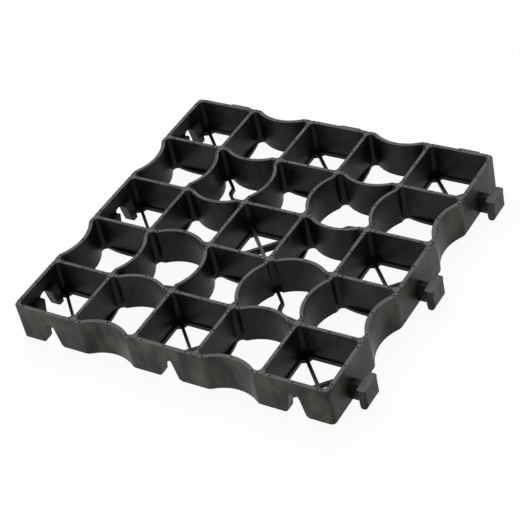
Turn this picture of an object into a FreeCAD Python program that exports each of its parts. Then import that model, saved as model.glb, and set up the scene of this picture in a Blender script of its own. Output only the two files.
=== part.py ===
import FreeCAD, Part
import math
import os
import Sketcher

# Grass paver grid: one moulded module of five by five open cells.
# Frame: origin on the ground, at the middle of the overall box with the hooks; X and Y
# along the sides, Z up. Hooks stand out from the +X and +Y sides, slots open in the others.

doc = FreeCAD.newDocument("grass_paver_grid")

# Driving dimensions, in millimetres

SIZES = {
    "module_side": "330",  # outer side of the square module, hooks left out
    "module_height": "38",
    "wall": "3.3",  # walls between the cells
    "rim_wall": "3.8",  # walls round the module
    "square_pitch": "64.2",  # wall to wall in the straight-sided cells
    "bulge_lead": "8",  # straight run at each end of a curved wall
    "bulge_rise": "8.3",
    "cell_radius": "4.2",  # upright inner corners of the cells
    "bend_radius": "3",  # where a straight run meets an arc
    "module_radius": "4.5",  # upright outer corners of the module
    "base_height": "4.2",  # foot of the walls, base braces and spring bars
    "base_wall": "6",  # foot of the walls round the straight-sided cells
    "window_bevel": "5.2",  # where a base brace meets a wall's foot
    "brace_width": "3",
    "centre_brace_bottom": "9.5",
    "centre_brace_top": "16.5",
    "spring_shift": "5",  # sideways shift of a spring bar from its cell's diagonal
    "spring_shift_start": "23.5",  # from the cell's middle, along the diagonal
    "spring_shift_end": "16.5",
    "spring_cross_start": "7",
    "joint_pitch": "129",  # between the hooks of a side, and between its slots
    "slot_foot_width": "18.6",
    "slot_top_width": "9.2",
    "slot_height": "23.8",
    "slot_top_radius": "4.2",
    "slot_foot_bevel": "2.2",
    "cheek_depth": "5.2",  # thickening of the wall round a slot
    "cheek_length": "34",
    "cheek_height": "21.5",
    "hook_reach": "10.8",  # from the wall's outer face to the hook's plate
    "hook_thickness": "8.2",
    "hook_length": "23",
    "hook_top": "22.4",
    "hook_clearance": "0.8",  # above the ground
    "hook_bevel": "1.6",  # upright edges of the plate
    "hook_cap_radius": "2.8",
    "hook_cap_height": "1.4",
    "hook_cap_lip": "0.4",
    "arm_width": "7.2",
    "arm_top": "19.4",
}

sheet = doc.addObject("Spreadsheet::Sheet", "Sizes")
for row, (alias, number) in enumerate(SIZES.items(), 1):
    sheet.set(f"A{row}", alias)
    sheet.set(f"B{row}", number)
    sheet.setAlias(f"B{row}", alias)
doc.recompute()


def size(alias):
    return float(sheet.get(alias))


def value(expression):
    return sheet.evalExpression(expression)


CELLS = 5
GROUND = "0 mm"
HALF_SIDE = "Sizes.module_side / 2"
CURVED_PITCH = "(Sizes.module_side - Sizes.rim_wall - 3 * Sizes.square_pitch) / 2"
BULGE_CHORD = f"({CURVED_PITCH} - 2 * Sizes.bulge_lead)"
BULGE_RADIUS = f"({BULGE_CHORD} ^ 2 / 4 + Sizes.bulge_rise ^ 2) / (2 * Sizes.bulge_rise)"

# Middle lines of the walls, the same along X and along Y
LINES = [
    f"-({HALF_SIDE} - Sizes.rim_wall / 2)",
    f"-(Sizes.square_pitch / 2 + {CURVED_PITCH})",
    "-Sizes.square_pitch / 2",
    "Sizes.square_pitch / 2",
    f"Sizes.square_pitch / 2 + {CURVED_PITCH}",
    f"{HALF_SIDE} - Sizes.rim_wall / 2",
]


def half_wall(line):
    return "Sizes.rim_wall / 2" if line in (0, CELLS) else "Sizes.wall / 2"


def bulge(cell, line):
    """Way a wall bulges across a cell: in every second one, toward the module's middle."""
    if cell % 2 == 0:
        return 0
    return 1 if line < CELLS / 2 else -1


def bends(cell, line, side, forward):
    """The two bends of one wall face across a cell, as (along, across, arc or None).

    side is +1 for the face on the wall's positive side and -1 for the other face.
    """
    way = bulge(cell, line)
    if way == 0:
        return []
    across = f"{LINES[line]} + {side} * {half_wall(line)}"
    radius = f"{BULGE_RADIUS} + {way * side} * {half_wall(line)}"
    half_chord = f"sqrt(Sizes.bulge_rise * (2 * ({radius}) - Sizes.bulge_rise))"
    middle = f"({LINES[cell]} + {LINES[cell + 1]}) / 2"
    top = (middle, f"{across} + {way} * Sizes.bulge_rise")
    first = -1 if forward else 1
    return [
        (f"{middle} + {first} * {half_chord}", across, (radius, top)),
        (f"{middle} - {first} * {half_chord}", across, None),
    ]


def swap(corners):
    """The same corners with along and across exchanged, for a wall along Y."""
    swapped = []
    for along, across, arc in corners:
        turned = None if arc is None else (arc[0], arc[1][::-1])
        swapped.append((across, along, turned))
    return swapped


def cell_corners(i, j):
    """Outline of one cell's opening, counter-clockwise from its -X -Y corner."""
    left = f"{LINES[i]} + {half_wall(i)}"
    right = f"{LINES[i + 1]} - {half_wall(i + 1)}"
    front = f"{LINES[j]} + {half_wall(j)}"
    back = f"{LINES[j + 1]} - {half_wall(j + 1)}"
    return (
        [(left, front, None)]
        + bends(i, j, 1, True)
        + [(right, front, None)]
        + swap(bends(j, i + 1, -1, True))
        + [(right, back, None)]
        + bends(i, j + 1, -1, False)
        + [(left, back, None)]
        + swap(bends(j, i, 1, False))
    )


def module_corners():
    """Outline of the whole module, counter-clockwise from its -X -Y corner."""
    low, high = f"-({HALF_SIDE})", HALF_SIDE
    front, right, back, left = [], [], [], []
    for k in range(CELLS):
        front += bends(k, 0, -1, True)
        right += swap(bends(k, CELLS, 1, True))
    for k in reversed(range(CELLS)):
        back += bends(k, CELLS, 1, False)
        left += swap(bends(k, 0, -1, False))
    return (
        [(low, low, None)] + front + [(high, low, None)] + right
        + [(high, high, None)] + back + [(low, high, None)] + left
    )


def draw_outline(sketch, corners):
    """Draw a closed run of lines and arcs whose corners are bound to the sheet."""
    points = []
    for x, y, arc in corners:
        points.append(FreeCAD.Vector(sketch.evalExpression(x), sketch.evalExpression(y), 0))
    first = sketch.GeometryCount
    starts = []
    for k, (x, y, arc) in enumerate(corners):
        start, end = points[k], points[(k + 1) % len(points)]
        if arc is None:
            sketch.addGeometry(Part.LineSegment(start, end))
        else:
            top = FreeCAD.Vector(sketch.evalExpression(arc[1][0]), sketch.evalExpression(arc[1][1]), 0)
            sketch.addGeometry(Part.Arc(start, top, end))
        at_start = sketch.getPoint(first + k, 1).distanceToPoint(start) < 1e-6
        starts.append(1 if at_start else 2)
    joints, sizes = [], []
    for k, (x, y, arc) in enumerate(corners):
        edge, before = first + k, first + (k - 1) % len(points)
        joints.append(Sketcher.Constraint("Coincident", before, 3 - starts[k - 1], edge, starts[k]))
        sizes.append((Sketcher.Constraint("DistanceX", -1, 1, edge, starts[k], points[k].x), x))
        sizes.append((Sketcher.Constraint("DistanceY", -1, 1, edge, starts[k], points[k].y), y))
        if arc is not None:
            radius = sketch.evalExpression(arc[0])
            sizes.append((Sketcher.Constraint("Radius", edge, radius), arc[0]))
    sketch.addConstraint(joints)
    indexes = sketch.addConstraint([constraint for constraint, expression in sizes])
    for index, (constraint, expression) in zip(indexes, sizes):
        sketch.setExpression(f"Constraints[{index}]", expression)


def plane(body, role):
    return next(item for item in body.Origin.OriginFeatures if item.Role == role)


def upright_edges(shape, arcs):
    """Names of the upright edges between two faces of which so many are arcs."""
    names = []
    for index, edge in enumerate(shape.Edges, 1):
        if abs(edge.tangentAt(edge.FirstParameter).z) < 0.999:
            continue
        faces = shape.ancestorsOfType(edge, Part.Face)
        if sum(isinstance(face.Surface, Part.Cylinder) for face in faces) == arcs:
            names.append(f"Edge{index}")
    return names


def round_edges(body, name, base, edges, radius):
    rounding = body.newObject("PartDesign::Fillet", name)
    rounding.Base = (base, edges)
    rounding.setExpression("Radius", radius)
    doc.recompute()
    return rounding


def bevel_edges(body, name, base, edges, width):
    bevel = body.newObject("PartDesign::Chamfer", name)
    bevel.Base = (base, edges)
    bevel.setExpression("Size", width)
    doc.recompute()
    return bevel


def edges_at(shape, wanted):
    """Names of the edges whose middle point is wanted."""
    names = []
    for index, edge in enumerate(shape.Edges, 1):
        if wanted(edge.valueAt((edge.FirstParameter + edge.LastParameter) / 2)):
            names.append(f"Edge{index}")
    return names


def same(first, second):
    return abs(first - second) < 1e-6


def rectangle(near, far, half_width):
    """Corners of a rectangle that lies evenly on both sides of its first axis."""
    return [
        (near, f"-({half_width})", None),
        (far, f"-({half_width})", None),
        (far, half_width, None),
        (near, half_width, None),
    ]


def raised(name, corners, height, level=GROUND):
    """A body that stands on the given outline, at a level above the ground."""
    body = doc.addObject("PartDesign::Body", name)
    sketch = body.newObject("Sketcher::SketchObject", f"{name}_outline")
    sketch.AttachmentSupport = (plane(body, "XY_Plane"), [""])
    sketch.MapMode = "FlatFace"
    sketch.setExpression("AttachmentOffset.Base.z", level)
    draw_outline(sketch, corners)
    pad = body.newObject("PartDesign::Pad", f"{name}_height")
    pad.Profile = sketch
    pad.setExpression("Length", height)
    doc.recompute()
    return body, pad


def place(x, y, z, turn):
    return FreeCAD.Placement(FreeCAD.Vector(x, y, z), FreeCAD.Rotation(FreeCAD.Vector(0, 0, 1), turn))


def repeated(name, shape, placements):
    copies = []
    for k, placement in enumerate(placements):
        copy = doc.addObject("Part::Feature", f"{name}_{k}")
        copy.Shape = shape.copy()
        copy.Placement = placement
        copies.append(copy)
    return copies


def cut(name, base, tools):
    tool = doc.addObject("Part::Compound", f"{name}_spaces")
    tool.Links = tools
    result = doc.addObject("Part::Cut", name)
    result.Base = base
    result.Tool = tool
    return result


# The grid of walls: a solid slab with every cell cut into it, down to the base in the
# straight-sided cells and through in the others. Seven cells are drawn; all but the
# middle one stand again on the three other sides of the module.

slab, slab_height = raised("slab", module_corners(), "Sizes.module_height")
outer_corners = upright_edges(slab_height.Shape, 0)
round_edges(slab, "module_corners", slab_height, outer_corners, "Sizes.module_radius")

FULL_DEPTH = ("Sizes.module_height", GROUND)
ABOVE_BASE = ("Sizes.module_height - Sizes.base_height", "Sizes.base_height")
cells = []
for i, j in [(0, 0), (1, 0), (2, 0), (3, 0), (1, 1), (2, 1), (2, 2)]:
    straight_sided = i % 2 == 0 and j % 2 == 0
    depth = ABOVE_BASE if straight_sided else FULL_DEPTH
    cell, rounded = raised(f"cell_{i}{j}", cell_corners(i, j), *depth)
    if not straight_sided:
        bent = upright_edges(rounded.Shape, 1)
        rounded = round_edges(cell, f"bends_{i}{j}", rounded, bent, "Sizes.bend_radius")
    inner_corners = upright_edges(rounded.Shape, 0)
    round_edges(cell, f"corners_{i}{j}", rounded, inner_corners, "Sizes.cell_radius")
    cells.append(cell)
    if (i, j) != (2, 2):
        quarters = [place(0, 0, 0, 90 * quarter) for quarter in (1, 2, 3)]
        cells += repeated(f"cell_{i}{j}_turned", cell.Shape, quarters)
grid = cut("grid", slab, cells)

half_side = size("module_side") / 2
lines = [value(line) for line in LINES]
middles = [(lines[k] + lines[k + 1]) / 2 for k in range(CELLS)]

# Windows in the base of the straight-sided cells, which leave crossed braces and a foot
# along the walls. The middle cell has one window, and its braces are higher up.

WINDOW_SIDE = "(Sizes.square_pitch - Sizes.base_wall) / 2"
BRACE_EDGE = "Sizes.brace_width / sqrt(2)"
window_outline = [
    (BRACE_EDGE, "0", None),
    (WINDOW_SIDE, f"{BRACE_EDGE} - {WINDOW_SIDE}", None),
    (WINDOW_SIDE, f"{WINDOW_SIDE} - {BRACE_EDGE}", None),
]
window, window_height = raised("window", window_outline, "Sizes.module_height")
wall_corners = edges_at(
    window_height.Shape,
    lambda point: same(point.x, value(WINDOW_SIDE)) and same(point.z, size("module_height") / 2),
)
bevel_edges(window, "window_corners", window_height, wall_corners, "Sizes.window_bevel")
middle_outline = rectangle(f"-({WINDOW_SIDE})", WINDOW_SIDE, WINDOW_SIDE)
middle_window, middle_height = raised("middle_window", middle_outline, "Sizes.module_height")
middle_corners = upright_edges(middle_height.Shape, 0)
bevel_edges(middle_window, "middle_corners", middle_height, middle_corners, "Sizes.window_bevel")
window_places = []
for i in range(0, CELLS, 2):
    for j in range(0, CELLS, 2):
        if i != CELLS // 2 or j != CELLS // 2:
            window_places += [place(middles[i], middles[j], 0, 90 * quarter) for quarter in range(4)]
windows = repeated("window_space", window.Shape, window_places) + [middle_window]
pieces = [cut("grid_with_base", grid, windows)]


def box(name, length, width, height, placement):
    """A block with its sizes bound to the sheet, centred across its width."""
    block = doc.addObject("Part::Box", name)
    block.setExpression("Length", length)
    block.setExpression("Width", width)
    block.setExpression("Height", height)
    shift = FreeCAD.Placement(FreeCAD.Vector(0, -value(width) / 2, 0), FreeCAD.Rotation())
    block.Placement = placement.multiply(shift)
    return block


# Crossed braces of the middle cell

DIAGONAL = "Sizes.square_pitch * sqrt(2)"
BRACE_HEIGHT = "Sizes.centre_brace_top - Sizes.centre_brace_bottom"
for way, turn in (("rising", 45), ("falling", -45)):
    foot = place(0, 0, 0, turn).multVec(FreeCAD.Vector(-value(DIAGONAL) / 2, 0, 0))
    start = place(foot.x, foot.y, size("centre_brace_bottom"), turn)
    pieces.append(box(f"{way}_brace", DIAGONAL, "Sizes.brace_width", BRACE_HEIGHT, start))

# Spring bars: diagonal base bars with a double bend, in the four cells curved on all sides


def stroke(points, width):
    """Closed outline of a bent bar that follows the points, with mitred bends."""
    sides = ([], [])
    for k, point in enumerate(points):
        before = (point - points[k - 1]).normalize() if k > 0 else None
        after = (points[k + 1] - point).normalize() if k + 1 < len(points) else None
        first = before or after
        second = after or before
        normal = FreeCAD.Vector(-first.y - second.y, first.x + second.x, 0)
        reach = width / (1 + first.dot(second))
        sides[0].append(point + normal * (reach / 2))
        sides[1].append(point - normal * (reach / 2))
    return sides[0] + sides[1][::-1]


def along_diagonal(along, across):
    """A point by its distance along the falling diagonal and to its upper right side."""
    return FreeCAD.Vector(along + across, across - along, 0) * math.sqrt(0.5)


shift = size("spring_shift")
reach = value(CURVED_PITCH) * math.sqrt(0.5)
half_bar = [
    along_diagonal(-reach, 0),
    along_diagonal(-size("spring_shift_start"), 0),
    along_diagonal(-size("spring_shift_end"), -shift),
    along_diagonal(-size("spring_cross_start"), -shift),
]
bar = half_bar + [point * -1 for point in half_bar[::-1]]
for i in (1, 3):
    for j in (1, 3):
        flip = 1 if i != j else -1
        points = [FreeCAD.Vector(point.x, point.y * flip, 0) for point in bar]
        corners = stroke(points, size("brace_width"))
        outline = Part.makePolygon(corners + corners[:1])
        spring = doc.addObject("Part::Feature", f"spring_bar_{i}{j}")
        spring.Shape = Part.Face(outline).extrude(FreeCAD.Vector(0, 0, size("base_height")))
        spring.Placement = place(middles[i], middles[j], 0, 0)
        pieces.append(spring)

# Slots in the -X and -Y sides and hooks on the +X and +Y sides, three to a side.
# A site stands on the ground at the wall's outer face, with x outward and y along the wall.

places = [k * size("joint_pitch") for k in (-1, 0, 1)]
slot_sites = [place(k, -half_side, 0, -90) for k in places] + [place(-half_side, k, 0, 180) for k in places]
hook_sites = [place(half_side, k, 0, 0) for k in places] + [place(k, half_side, 0, 90) for k in places]


def local(site, x, y, z):
    return site.multiply(FreeCAD.Placement(FreeCAD.Vector(x, y, z), FreeCAD.Rotation()))


def outward_and_up(site, y):
    """Placement of an outline drawn with its first axis outward and its second one up."""
    turn = FreeCAD.Rotation(FreeCAD.Vector(1, 0, 0), 90)
    return local(site, 0, y, 0).multiply(FreeCAD.Placement(FreeCAD.Vector(), turn))


def along_and_up(site, x):
    """Placement of an outline drawn with its first axis along the wall and its second one up."""
    turn = FreeCAD.Rotation(FreeCAD.Vector(1, 1, 1), 120)
    return local(site, x, 0, 0).multiply(FreeCAD.Placement(FreeCAD.Vector(), turn))


# Cheeks that thicken the wall round the slots

WALL_AND_CHEEK = "Sizes.rim_wall + Sizes.cheek_depth"
for k, site in enumerate(slot_sites):
    start = local(site, -value(WALL_AND_CHEEK), 0, 0)
    pieces.append(box(f"cheek_{k}", WALL_AND_CHEEK, "Sizes.cheek_length", "Sizes.cheek_height", start))

# Hooks: an arm, and a plate with a round toe and a thin cap on its top

HOOK_END = "Sizes.hook_reach + Sizes.hook_thickness"
plate_outline = [
    ("Sizes.hook_reach", "Sizes.hook_clearance", None),
    (HOOK_END, "Sizes.hook_clearance", None),
    (HOOK_END, "Sizes.hook_top", None),
    ("Sizes.hook_reach", "Sizes.hook_top", None),
]
profile, profile_length = raised("plate_profile", plate_outline, "Sizes.hook_length")
half_length = size("hook_length") / 2
toe_edges = edges_at(
    profile_length.Shape,
    lambda point: same(point.y, size("hook_clearance")) and same(point.z, half_length),
)
round_edges(profile, "plate_toe", profile_length, toe_edges, "0.49 * Sizes.hook_thickness")
profile.Placement = outward_and_up(FreeCAD.Placement(), half_length)
plan_outline = rectangle("Sizes.hook_reach", HOOK_END, "Sizes.hook_length / 2")
plan, plan_height = raised("plate_plan", plan_outline, "Sizes.hook_top")
plan_corners = upright_edges(plan_height.Shape, 0)
bevel_edges(plan, "plate_corners", plan_height, plan_corners, "Sizes.hook_bevel")
plate = doc.addObject("Part::Common", "plate")
plate.Base = profile
plate.Tool = plan
doc.recompute()
pieces += repeated("hook_plate", plate.Shape, hook_sites)

CAP_INSIDE = "Sizes.hook_reach - Sizes.hook_cap_lip"
CAP_OUTSIDE = f"{HOOK_END} + Sizes.hook_cap_lip"
cap_outline = rectangle(CAP_INSIDE, CAP_OUTSIDE, "Sizes.hook_length / 2 + Sizes.hook_cap_lip")
cap, cap_height = raised("cap", cap_outline, "Sizes.hook_cap_height")
cap_corners = upright_edges(cap_height.Shape, 0)
round_edges(cap, "cap_corners", cap_height, cap_corners, "Sizes.hook_cap_radius")
cap_bottom = size("hook_top") - size("hook_cap_height")
pieces += repeated("hook_cap", cap.Shape, [local(site, 0, 0, cap_bottom) for site in hook_sites])

ARM_HEIGHT = "Sizes.arm_top - Sizes.hook_clearance"
ARM_LENGTH = "Sizes.rim_wall / 2 + Sizes.hook_reach + Sizes.hook_thickness / 2"
for k, site in enumerate(hook_sites):
    start = local(site, -size("rim_wall") / 2, 0, size("hook_clearance"))
    pieces.append(box(f"arm_{k}", ARM_LENGTH, "Sizes.arm_width", ARM_HEIGHT, start))

walls_with_hooks = doc.addObject("Part::MultiFuse", "walls_with_hooks")
walls_with_hooks.Shapes = pieces
walls_with_hooks.Refine = True

# Slots: open at the ground, narrower toward their round top, with bevelled feet

FOOT, TOP = "Sizes.slot_foot_width / 2", "Sizes.slot_top_width / 2"
FLARE = f"{FOOT} + 2 * Sizes.slot_foot_bevel"
right_half = [(FLARE, "-Sizes.slot_foot_bevel"), (FLARE, "0"), (FOOT, "0"), (TOP, "Sizes.slot_height")]
slot_outline = [(x, y, None) for x, y in right_half] + [(f"-({x})", y, None) for x, y in right_half[::-1]]
slot, slot_depth = raised("slot", slot_outline, f"{WALL_AND_CHEEK} + 2 * Sizes.rim_wall")
top_edges = edges_at(
    slot_depth.Shape,
    lambda point: same(point.y, size("slot_height")) and same(abs(point.x), size("slot_top_width") / 2),
)
slot_top = round_edges(slot, "slot_top", slot_depth, top_edges, "Sizes.slot_top_radius")
foot_edges = edges_at(
    slot_top.Shape,
    lambda point: same(point.y, 0) and same(abs(point.x), size("slot_foot_width") / 2),
)
bevel_edges(slot, "slot_feet", slot_top, foot_edges, "Sizes.slot_foot_bevel")
inner_end = -value(f"{WALL_AND_CHEEK} + Sizes.rim_wall")
slot_places = [along_and_up(site, inner_end) for site in slot_sites]
paver = cut("paver_grid", walls_with_hooks, repeated("slot_space", slot.Shape, slot_places))
paver.Refine = True
for axis in "xy":
    paver.setExpression(
        f"Placement.Base.{axis}",
        "-(Sizes.hook_reach + Sizes.hook_thickness + Sizes.hook_cap_lip) / 2",
    )
doc.recompute()

for item in doc.Objects:
    if "Invalid" in item.State or "Error" in item.State:
        raise RuntimeError(f"{item.Label} did not build: {item.getStatusString()}")
if paver.Shape.isNull() or not paver.Shape.isValid() or len(paver.Shape.Solids) != 1:
    raise RuntimeError("the module is not one valid solid")

os.makedirs("parts", exist_ok=True)
paver.Shape.exportStep(f"parts/{paver.Label}.step")
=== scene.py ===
import math

import bmesh
import bpy
from mathutils import Matrix, Vector


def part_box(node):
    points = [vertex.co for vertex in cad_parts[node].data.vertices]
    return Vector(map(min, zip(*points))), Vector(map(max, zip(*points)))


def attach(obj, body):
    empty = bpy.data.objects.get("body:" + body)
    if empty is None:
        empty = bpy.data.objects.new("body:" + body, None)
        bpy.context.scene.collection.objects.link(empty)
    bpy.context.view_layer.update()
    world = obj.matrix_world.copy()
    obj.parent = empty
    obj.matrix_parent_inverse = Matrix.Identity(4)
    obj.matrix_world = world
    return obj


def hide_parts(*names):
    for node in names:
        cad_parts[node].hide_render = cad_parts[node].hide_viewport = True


# Grass paver grid: the moulded module with ledges at its walls, soft outer bends and marks in
# its rim, in black recycled plastic, on a white studio floor. Sizes are in metres, in the frame
# of the solids.

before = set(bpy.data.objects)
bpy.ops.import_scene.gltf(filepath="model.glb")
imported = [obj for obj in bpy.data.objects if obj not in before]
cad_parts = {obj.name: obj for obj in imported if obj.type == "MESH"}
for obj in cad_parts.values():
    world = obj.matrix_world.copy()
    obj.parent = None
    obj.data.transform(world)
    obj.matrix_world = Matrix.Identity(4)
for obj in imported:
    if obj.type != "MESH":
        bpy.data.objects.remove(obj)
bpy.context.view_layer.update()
NODE = "paver_grid"
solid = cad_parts[NODE]
low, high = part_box(NODE)
MM = 0.001

# The module's walls, as in the solids. The hooks stand out from the +X and +Y sides.

CELLS = 5
MODULE_SIDE = 330 * MM
RIM_WALL = 3.8 * MM
WALL = 3.3 * MM
SQUARE_PITCH = 64.2 * MM
BULGE_LEAD = 8 * MM
BULGE_RISE = 8.3 * MM
CURVED_PITCH = (MODULE_SIDE - RIM_WALL - 3 * SQUARE_PITCH) / 2
HALF_CHORD = CURVED_PITCH / 2 - BULGE_LEAD
MIDDLE = Vector((low.x + MODULE_SIDE / 2, low.y + MODULE_SIDE / 2, 0))
TOP = high.z
HALF_LINES = [SQUARE_PITCH / 2, SQUARE_PITCH / 2 + CURVED_PITCH, MODULE_SIDE / 2 - RIM_WALL / 2]
LINES = [-line for line in reversed(HALF_LINES)] + HALF_LINES

# Cutters end a little outside the module, points nearer than the weld become one, and edges
# over the sharp angle stay sharp

SPARE = 1 * MM
WELD = 0.01 * MM
SHARP_ANGLE = math.radians(32)


def grid_point(x, y, z):
    """A point by its place from the module's middle, on the ground."""
    return MIDDLE + Vector((x, y, z))


def cell_middle(cell):
    return (LINES[cell] + LINES[cell + 1]) / 2


def new_object(name, mesh):
    data = bpy.data.meshes.new(name)
    mesh.to_mesh(data)
    mesh.free()
    piece = bpy.data.objects.new(name, data)
    bpy.context.scene.collection.objects.link(piece)
    return piece


def add_prism(mesh, outline, foot, top):
    lower = [mesh.verts.new(grid_point(x, y, foot)) for x, y in outline]
    upper = [mesh.verts.new(grid_point(x, y, top)) for x, y in outline]
    mesh.faces.new(lower)
    mesh.faces.new(upper)
    for k in range(len(outline)):
        n = (k + 1) % len(outline)
        mesh.faces.new((lower[k], lower[n], upper[n], upper[k]))


def add_prism_both_ways(mesh, outline, foot, top):
    """A prism for a wall along X, and the same one for a wall along Y."""
    add_prism(mesh, outline, foot, top)
    add_prism(mesh, [(y, x) for x, y in outline], foot, top)


def combine(piece, tool, operation):
    """Join a tool to the piece or cut it out, and delete the tool."""
    change = piece.modifiers.new(tool.name, "BOOLEAN")
    change.operation = operation
    change.solver = "EXACT"
    change.object = tool
    evaluated = piece.evaluated_get(bpy.context.evaluated_depsgraph_get())
    piece.data = bpy.data.meshes.new_from_object(evaluated)
    piece.modifiers.clear()
    bpy.data.objects.remove(tool)


# Ledges at the foot of the straight walls, on the sides where the next cell has wave walls

LEDGE_CHORD = 52 * MM
LEDGE_RISE = 3 * MM
LEDGE_TOP = 3.4 * MM
LEDGE_FOOT = 0.05 * MM
LEDGE_ROOT = 1 * MM
LEDGE_STEPS = 16


def ledge_outline(cell, line):
    """A ledge on a wall along X, from above: a curve out of the wall, and its root in the wall."""
    middle = cell_middle(cell)
    way = 1 if line % 2 == 1 else -1
    root = LINES[line] + way * (WALL / 2 - LEDGE_ROOT)
    outline = [(middle - way * LEDGE_CHORD / 2, root)]
    for k in range(LEDGE_STEPS + 1):
        share = 2 * k / LEDGE_STEPS - 1
        rise = LEDGE_RISE * (1 - share ** 2)
        along = middle + way * share * LEDGE_CHORD / 2
        outline.append((along, LINES[line] + way * (WALL / 2 + rise)))
    outline.append((middle + way * LEDGE_CHORD / 2, root))
    return outline


def wall_ledges():
    mesh = bmesh.new()
    for line in range(1, CELLS):
        for cell in range(0, CELLS, 2):
            add_prism_both_ways(mesh, ledge_outline(cell, line), LEDGE_FOOT, LEDGE_TOP)
    bmesh.ops.recalc_face_normals(mesh, faces=mesh.faces)
    return new_object("wall_ledges", mesh)


# Soft bends on the outer face of the module's wave walls

BEND_RADIUS = 10 * MM
BEND_STEPS = 6
BEND_SPARE = 3 * MM


def bend_outline():
    """What is cut off one outer bend: points along the wall, from the bulge's middle, and inward."""
    bulge_radius = (HALF_CHORD ** 2 + BULGE_RISE ** 2) / (2 * BULGE_RISE) - RIM_WALL / 2
    centres_apart = bulge_radius + BEND_RADIUS
    along = math.sqrt(BULGE_RISE * (2 * centres_apart - BULGE_RISE))
    turn = math.asin(along / centres_apart)
    outline = [(along, -BEND_SPARE)]
    for k in range(BEND_STEPS + 1):
        step = turn * k / BEND_STEPS
        outline.append((along - BEND_RADIUS * math.sin(step), BEND_RADIUS * (1 - math.cos(step))))
    reach = BEND_RADIUS + BEND_SPARE
    outline.append((along - reach * math.sin(turn), BEND_RADIUS - reach * math.cos(turn)))
    return outline


def bend_cutter():
    mesh = bmesh.new()
    for cell in range(1, CELLS, 2):
        for end in (-1, 1):
            for side in (-1, 1):
                outline = []
                for along, inward in bend_outline():
                    outline.append((cell_middle(cell) + end * along, side * (MODULE_SIDE / 2 - inward)))
                add_prism_both_ways(mesh, outline, -SPARE, TOP + SPARE)
    bmesh.ops.recalc_face_normals(mesh, faces=mesh.faces)
    return new_object("outer_bends", mesh)


# Marks in the rim: small dimples, and the round marks of ejector pins

DIMPLE_RADIUS = 0.9 * MM
DIMPLE_TAPER = 0.15
DIMPLE_DEPTH = 1.4 * MM
DIMPLE_SPACING = 23 * MM
DIMPLE_SIDES = 12
PIN_RADIUS = 3.9 * MM
PIN_GROOVE = 0.6 * MM
PIN_DEPTH = 0.6 * MM
PIN_INSET = 2.4 * MM
PIN_SIDES = 40


def bulge(cell, line):
    """Way a wall bulges across a cell: in every second one, toward the module's middle."""
    if cell % 2 == 0:
        return 0
    return 1 if line < CELLS / 2 else -1


def dimple_places():
    """Places of the small dimples along the walls, three to a cell's side."""
    places = []
    for line in range(CELLS + 1):
        for cell in range(CELLS):
            way = bulge(cell, line)
            spacing = DIMPLE_SPACING if way == 0 else HALF_CHORD
            for step in (-1, 0, 1):
                rise = way * BULGE_RISE if step == 0 else 0
                along = cell_middle(cell) + step * spacing
                across = LINES[line] + rise
                places.append((along, across))
                places.append((across, along))
    return places


def pin_places():
    """Places of the round marks, one where each two walls meet."""
    inset = LINES[:]
    inset[0] += PIN_INSET
    inset[-1] -= PIN_INSET
    return [(x, y) for x in inset for y in inset]


def add_dimple(mesh, x, y):
    """A cup with a narrower floor, closed as far above the rim as its floor lies below."""
    bmesh.ops.create_cone(
        mesh,
        cap_ends=True,
        segments=DIMPLE_SIDES,
        radius1=DIMPLE_RADIUS * (1 - DIMPLE_TAPER),
        radius2=DIMPLE_RADIUS * (1 + DIMPLE_TAPER),
        depth=2 * DIMPLE_DEPTH,
        matrix=Matrix.Translation(grid_point(x, y, TOP)),
    )


def add_ring(mesh, x, y, z, radius):
    ring = []
    for k in range(PIN_SIDES):
        turn = 2 * math.pi * k / PIN_SIDES
        point = grid_point(x + radius * math.cos(turn), y + radius * math.sin(turn), z)
        ring.append(mesh.verts.new(point))
    return ring


def add_pin_groove(mesh, x, y):
    """A thin ring that is sunk into the rim and ends above it."""
    floor_level = TOP - PIN_DEPTH
    upper_level = TOP + SPARE
    inner_low = add_ring(mesh, x, y, floor_level, PIN_RADIUS)
    inner_high = add_ring(mesh, x, y, upper_level, PIN_RADIUS)
    outer_low = add_ring(mesh, x, y, floor_level, PIN_RADIUS + PIN_GROOVE)
    outer_high = add_ring(mesh, x, y, upper_level, PIN_RADIUS + PIN_GROOVE)
    for k in range(PIN_SIDES):
        n = (k + 1) % PIN_SIDES
        mesh.faces.new((outer_low[k], outer_low[n], outer_high[n], outer_high[k]))
        mesh.faces.new((inner_low[n], inner_low[k], inner_high[k], inner_high[n]))
        mesh.faces.new((outer_high[k], outer_high[n], inner_high[n], inner_high[k]))
        mesh.faces.new((outer_low[n], outer_low[k], inner_low[k], inner_low[n]))


def marks_cutter():
    mesh = bmesh.new()
    for x, y in dimple_places():
        add_dimple(mesh, x, y)
    for x, y in pin_places():
        add_pin_groove(mesh, x, y)
    return new_object("rim_marks", mesh)


def dressed_module():
    """The module's mesh with ledges at its straight walls, soft outer bends and marks in its rim."""
    mesh = bmesh.new()
    mesh.from_mesh(solid.data)
    bmesh.ops.remove_doubles(mesh, verts=mesh.verts, dist=WELD)
    piece = new_object("moulded_grid", mesh)
    combine(piece, wall_ledges(), "UNION")
    combine(piece, bend_cutter(), "DIFFERENCE")
    combine(piece, marks_cutter(), "DIFFERENCE")
    return piece


def smooth_by_angle(piece):
    """Weld the piece and shade it smooth, apart from its sharp edges."""
    mesh = bmesh.new()
    mesh.from_mesh(piece.data)
    bmesh.ops.remove_doubles(mesh, verts=mesh.verts, dist=WELD)
    for face in mesh.faces:
        face.smooth = True
    for edge in mesh.edges:
        edge.smooth = len(edge.link_faces) == 2 and edge.calc_face_angle() < SHARP_ANGLE
    mesh.to_mesh(piece.data)
    mesh.free()


# Materials


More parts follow.
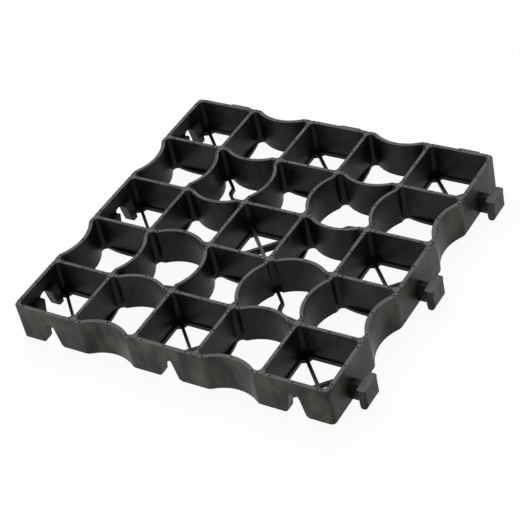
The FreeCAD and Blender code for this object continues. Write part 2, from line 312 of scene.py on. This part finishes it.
class Nodes:
    """The node tree of a new material or world, with short calls for its nodes and links."""

    def __init__(self, owner):
        self.owner = owner
        owner.use_nodes = True
        self.tree = owner.node_tree
        self.tree.nodes.clear()

    def add(self, kind, **settings):
        node = self.tree.nodes.new(f"ShaderNode{kind}")
        for name, setting in settings.items():
            setattr(node, name, setting)
        return node

    def link(self, source, target):
        self.tree.links.new(source, target)

    def math(self, operation, first, second):
        node = self.add("Math", operation=operation)
        for socket, item in zip(node.inputs, (first, second)):
            if isinstance(item, (int, float)):
                socket.default_value = item
            else:
                self.link(item, socket)
        return node.outputs[0]

    def weighted(self, first, first_weight, second, second_weight):
        weighted_first = self.math("MULTIPLY", first, first_weight)
        weighted_second = self.math("MULTIPLY", second, second_weight)
        return self.math("ADD", weighted_first, weighted_second)

    def remap(self, source, source_range, result_range=(0, 1)):
        node = self.add("MapRange")
        node.inputs["From Min"].default_value = source_range[0]
        node.inputs["From Max"].default_value = source_range[1]
        node.inputs["To Min"].default_value = result_range[0]
        node.inputs["To Max"].default_value = result_range[1]
        self.link(source, node.inputs["Value"])
        return node.outputs["Result"]

    def noise(self, vector, stretch, scale, detail, roughness=0.55):
        mapping = self.add("Mapping")
        mapping.inputs["Scale"].default_value = stretch
        self.link(vector, mapping.inputs["Vector"])
        node = self.add("TexNoise")
        node.inputs["Scale"].default_value = scale
        node.inputs["Detail"].default_value = detail
        node.inputs["Roughness"].default_value = roughness
        self.link(mapping.outputs["Vector"], node.inputs["Vector"])
        return node.outputs["Fac"]

    def mix(self, factor, first, second):
        """Mix two colours; each is a colour or the output of a node."""
        node = self.add("Mix", data_type="RGBA")
        self.link(factor, node.inputs[0])
        for socket, item in ((node.inputs[6], first), (node.inputs[7], second)):
            if isinstance(item, tuple):
                socket.default_value = (*item, 1)
            else:
                self.link(item, socket)
        return node.outputs[2]


# The colour that painted shade darkens the plastic toward, in the sheltered cells
PAINTED_SHADE_BLACK = (0, 0, 0)
WALL_DARK = (0.018, 0.018, 0.0163)
WALL_PALE = (0.080, 0.079, 0.068)
# The rim colours are paler than the walls' as painted light on the rim's upward faces; the scuffs vary
# between them
RIM_GREY = (0.034, 0.034, 0.035)
RIM_PALE = (0.098, 0.098, 0.101)

# Patterns in the plastic, as noise scales, the range of each that shows, and the gloss

CLOUD_SCALE = 42
STREAK_SCALE = 110
SCUFF_SCALE = 420
GRAIN_SCALE = 1800
RIPPLE_SCALE = 90
CLOUD_STRETCH = (1, 1, 0.6)
STREAK_STRETCH = (1, 1, 0.15)
RIPPLE_STRETCH = (1, 1, 0.25)
NO_STRETCH = (1, 1, 1)
FLOW_RANGE = (0.40, 0.62)
RIM_WEAR_RANGE = (0.40, 0.66)
ROUGH_WEAR_RANGE = (0.35, 0.65)
ROUGHNESS_RANGE = (0.32, 0.46)
SPECULAR_LEVEL = 0.14

# Shelter: how much of a place's surroundings is closed off by the walls near it. The colour is darkened
# there as painted shade, and the paler rim colour is painted light on upward faces that are open

SHELTER_REACH = 90 * MM
SHELTER_PAINTED_SHADE = 0.09
PAINTED_SHADE_RANGE = (0.45, 0.9)
OPEN_RANGE = (0.3, 0.6)
UPWARD_RANGE = (0.75, 0.97)

EDGE_RADIUS = 0.45 * MM
BUMP_STRENGTH = 0.3
BUMP_HEIGHT = 0.4 * MM
SHADER_SAMPLES = 6


def plastic_colour(nodes, place, clouds, wear):
    """Flow marks on the walls, and scuffs on the rim, whose paler grey on upward open faces is painted
    light; painted shade darkens the sheltered cells.
    """
    streaks = nodes.noise(place, STREAK_STRETCH, STREAK_SCALE, detail=3)
    flow = nodes.weighted(clouds, 0.8, streaks, 0.2)
    walls = nodes.mix(nodes.remap(flow, FLOW_RANGE), WALL_DARK, WALL_PALE)
    rim = nodes.mix(nodes.remap(wear, RIM_WEAR_RANGE), RIM_GREY, RIM_PALE)

    facing = nodes.add("SeparateXYZ")
    nodes.link(nodes.add("NewGeometry").outputs["True Normal"], facing.inputs[0])
    upward = nodes.remap(facing.outputs["Z"], UPWARD_RANGE)
    shelter = nodes.add("AmbientOcclusion", samples=SHADER_SAMPLES, only_local=True)
    shelter.inputs["Distance"].default_value = SHELTER_REACH
    openness = shelter.outputs["AO"]
    # Painted light: upward faces that are open take the paler, scuffed rim colour
    rim_and_painted_top_light = nodes.math("MULTIPLY", upward, nodes.remap(openness, OPEN_RANGE))
    # Painted shade: the colour darkens toward black where the walls close a place in
    painted_shade = nodes.remap(openness, PAINTED_SHADE_RANGE, (SHELTER_PAINTED_SHADE, 1))
    return nodes.mix(painted_shade, PAINTED_SHADE_BLACK, nodes.mix(rim_and_painted_top_light, walls, rim))


def plastic_normal(nodes, place):
    """Fine grain and ripples, with slightly rounded edges."""
    grain = nodes.noise(place, NO_STRETCH, GRAIN_SCALE, detail=3)
    ripple = nodes.noise(place, RIPPLE_STRETCH, RIPPLE_SCALE, detail=2)
    rounding = nodes.add("Bevel", samples=SHADER_SAMPLES)
    rounding.inputs["Radius"].default_value = EDGE_RADIUS
    bump = nodes.add("Bump")
    bump.inputs["Strength"].default_value = BUMP_STRENGTH
    bump.inputs["Distance"].default_value = BUMP_HEIGHT
    nodes.link(nodes.weighted(grain, 0.25, ripple, 1), bump.inputs["Height"])
    nodes.link(rounding.outputs["Normal"], bump.inputs["Normal"])
    return bump.outputs["Normal"]


def recycled_plastic():
    """Black plastic with pale flow marks, scuffed on the rim and greyer there as painted light, with
    painted shade in the sheltered cells.
    """
    nodes = Nodes(bpy.data.materials.new("recycled_plastic"))
    place = nodes.add("TexCoord").outputs["Object"]
    clouds = nodes.noise(place, CLOUD_STRETCH, CLOUD_SCALE, detail=5)
    scuffs = nodes.noise(place, NO_STRETCH, SCUFF_SCALE, detail=6, roughness=0.7)
    wear = nodes.weighted(scuffs, 0.6, clouds, 0.4)

    shader = nodes.add("BsdfPrincipled")
    nodes.link(plastic_colour(nodes, place, clouds, wear), shader.inputs["Base Color"])
    nodes.link(nodes.remap(wear, ROUGH_WEAR_RANGE, ROUGHNESS_RANGE), shader.inputs["Roughness"])
    nodes.link(plastic_normal(nodes, place), shader.inputs["Normal"])
    shader.inputs["Specular IOR Level"].default_value = SPECULAR_LEVEL
    output = nodes.add("OutputMaterial")
    nodes.link(shader.outputs["BSDF"], output.inputs["Surface"])
    return nodes.owner


# The module

module = dressed_module()
smooth_by_angle(module)
module.data.materials.clear()
module.data.materials.append(recycled_plastic())
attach(module, "root")
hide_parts(NODE)

# Studio: a white floor, a white world and soft lamps

FLOOR_HALF = 6.0
FLOOR_COLOUR = (0.86, 0.86, 0.86, 1)
WHITE = (1, 1, 1, 1)
WHITE_SHARE = 0.93
AMBIENT = 0.45


def seen_directly(nodes):
    """One where the camera or a mirror sees the surface, and zero for the light it casts."""
    path = nodes.add("LightPath")
    seen = nodes.math("MAXIMUM", path.outputs["Is Camera Ray"], path.outputs["Is Glossy Ray"])
    return nodes.math("MAXIMUM", seen, path.outputs["Is Transmission Ray"])


def floor_white():
    """Mostly plain white where it is seen, with a share of the lit surface that keeps the shadow."""
    nodes = Nodes(bpy.data.materials.new("floor_white"))
    surface = nodes.add("BsdfDiffuse")
    surface.inputs["Color"].default_value = FLOOR_COLOUR
    white = nodes.add("Emission")
    blend = nodes.add("MixShader")
    nodes.link(nodes.math("MULTIPLY", seen_directly(nodes), WHITE_SHARE), blend.inputs[0])
    nodes.link(surface.outputs[0], blend.inputs[1])
    nodes.link(white.outputs[0], blend.inputs[2])
    output = nodes.add("OutputMaterial")
    nodes.link(blend.outputs[0], output.inputs["Surface"])
    return nodes.owner


def white_world():
    """White to the camera and to mirrors, and a softer light on the surfaces."""
    nodes = Nodes(bpy.data.worlds.new("studio"))
    background = nodes.add("Background")
    background.inputs["Color"].default_value = WHITE
    strength = nodes.remap(seen_directly(nodes), (0, 1), (AMBIENT, 1))
    nodes.link(strength, background.inputs["Strength"])
    output = nodes.add("OutputWorld")
    nodes.link(background.outputs[0], output.inputs["Surface"])
    return nodes.owner


def soft_lamp(name, place, width, power):
    """A square lamp that shines on the frame's origin."""
    lamp = bpy.data.lights.new(name, "AREA")
    lamp.shape = "SQUARE"
    lamp.size = width
    lamp.energy = power
    item = bpy.data.objects.new(name, lamp)
    item.location = place
    item.rotation_euler = (-Vector(place)).to_track_quat("-Z", "Y").to_euler()
    bpy.context.scene.collection.objects.link(item)


floor_mesh = bmesh.new()
bmesh.ops.create_grid(floor_mesh, x_segments=1, y_segments=1, size=FLOOR_HALF)
floor = new_object("floor", floor_mesh)
floor.data.materials.append(floor_white())
bpy.context.scene.world = white_world()
soft_lamp("key", place=(-0.7, 0.9, 1.7), width=1.4, power=29)
soft_lamp("fill", place=(-0.8, -1.8, 0.9), width=1.2, power=7.5)

# Camera at the photograph's viewing angle

AZIMUTH = math.radians(38.8)
ELEVATION = math.radians(39.5)
ROLL = math.radians(-13.4)
DISTANCE = 1.603
LENS = 119.0
SENSOR_WIDTH = 36
AIM = Vector((-0.009, -0.016, 0.006))


def add_camera():
    level = math.cos(ELEVATION)
    back = Vector((math.sin(AZIMUTH) * level, -math.cos(AZIMUTH) * level, math.sin(ELEVATION)))
    upright = (-back).to_track_quat("-Z", "Y").to_matrix()
    lens = bpy.data.cameras.new("camera")
    lens.lens = LENS
    lens.sensor_width = SENSOR_WIDTH
    camera = bpy.data.objects.new("camera", lens)
    camera.location = AIM + back * DISTANCE
    camera.rotation_euler = (upright @ Matrix.Rotation(ROLL, 3, "Z")).to_euler()
    bpy.context.scene.collection.objects.link(camera)
    bpy.context.scene.camera = camera


add_camera()
bpy.context.scene.view_settings.view_transform = "Standard"
